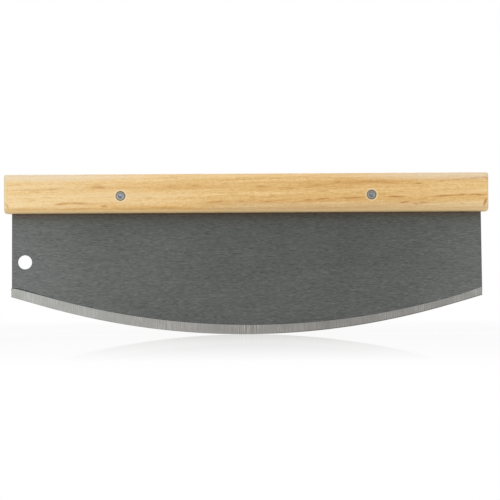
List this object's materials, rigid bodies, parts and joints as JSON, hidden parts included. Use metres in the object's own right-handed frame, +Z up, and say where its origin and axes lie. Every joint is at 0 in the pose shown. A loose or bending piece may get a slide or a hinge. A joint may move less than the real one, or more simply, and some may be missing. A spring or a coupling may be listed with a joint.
{
  "type": "rocking pizza knife",
  "caption": "Rocking pizza knife: a wide satin steel blade with a long curved edge, riveted into the saw kerf of a straight wooden bar handle.",
  "frame": {"origin": "below the middle of the handle, at the height of the lowest point of the cutting edge", "axes": "+X along the handle to the right, -Y out of the front face, +Z up from the edge to the handle"},
  "size_m": [0.355, 0.02, 0.1182],
  "materials": {
    "handle_wood": "fine sanded pale rubberwood, thin clear oil",
    "blade_steel": "satin faces with fine lengthwise brushing, bevel ground across",
    "rivet_steel": "plain bright steel, dulled in the funnel"
  },
  "bodies": {
    "root": {"handle_bar": "handle_wood", "blade": "blade_steel", "left_rivet_sleeve": "rivet_steel", "left_rivet_pin": "rivet_steel", "right_rivet_sleeve": "rivet_steel", "right_rivet_pin": "rivet_steel"}
  },
  "joints": []
}
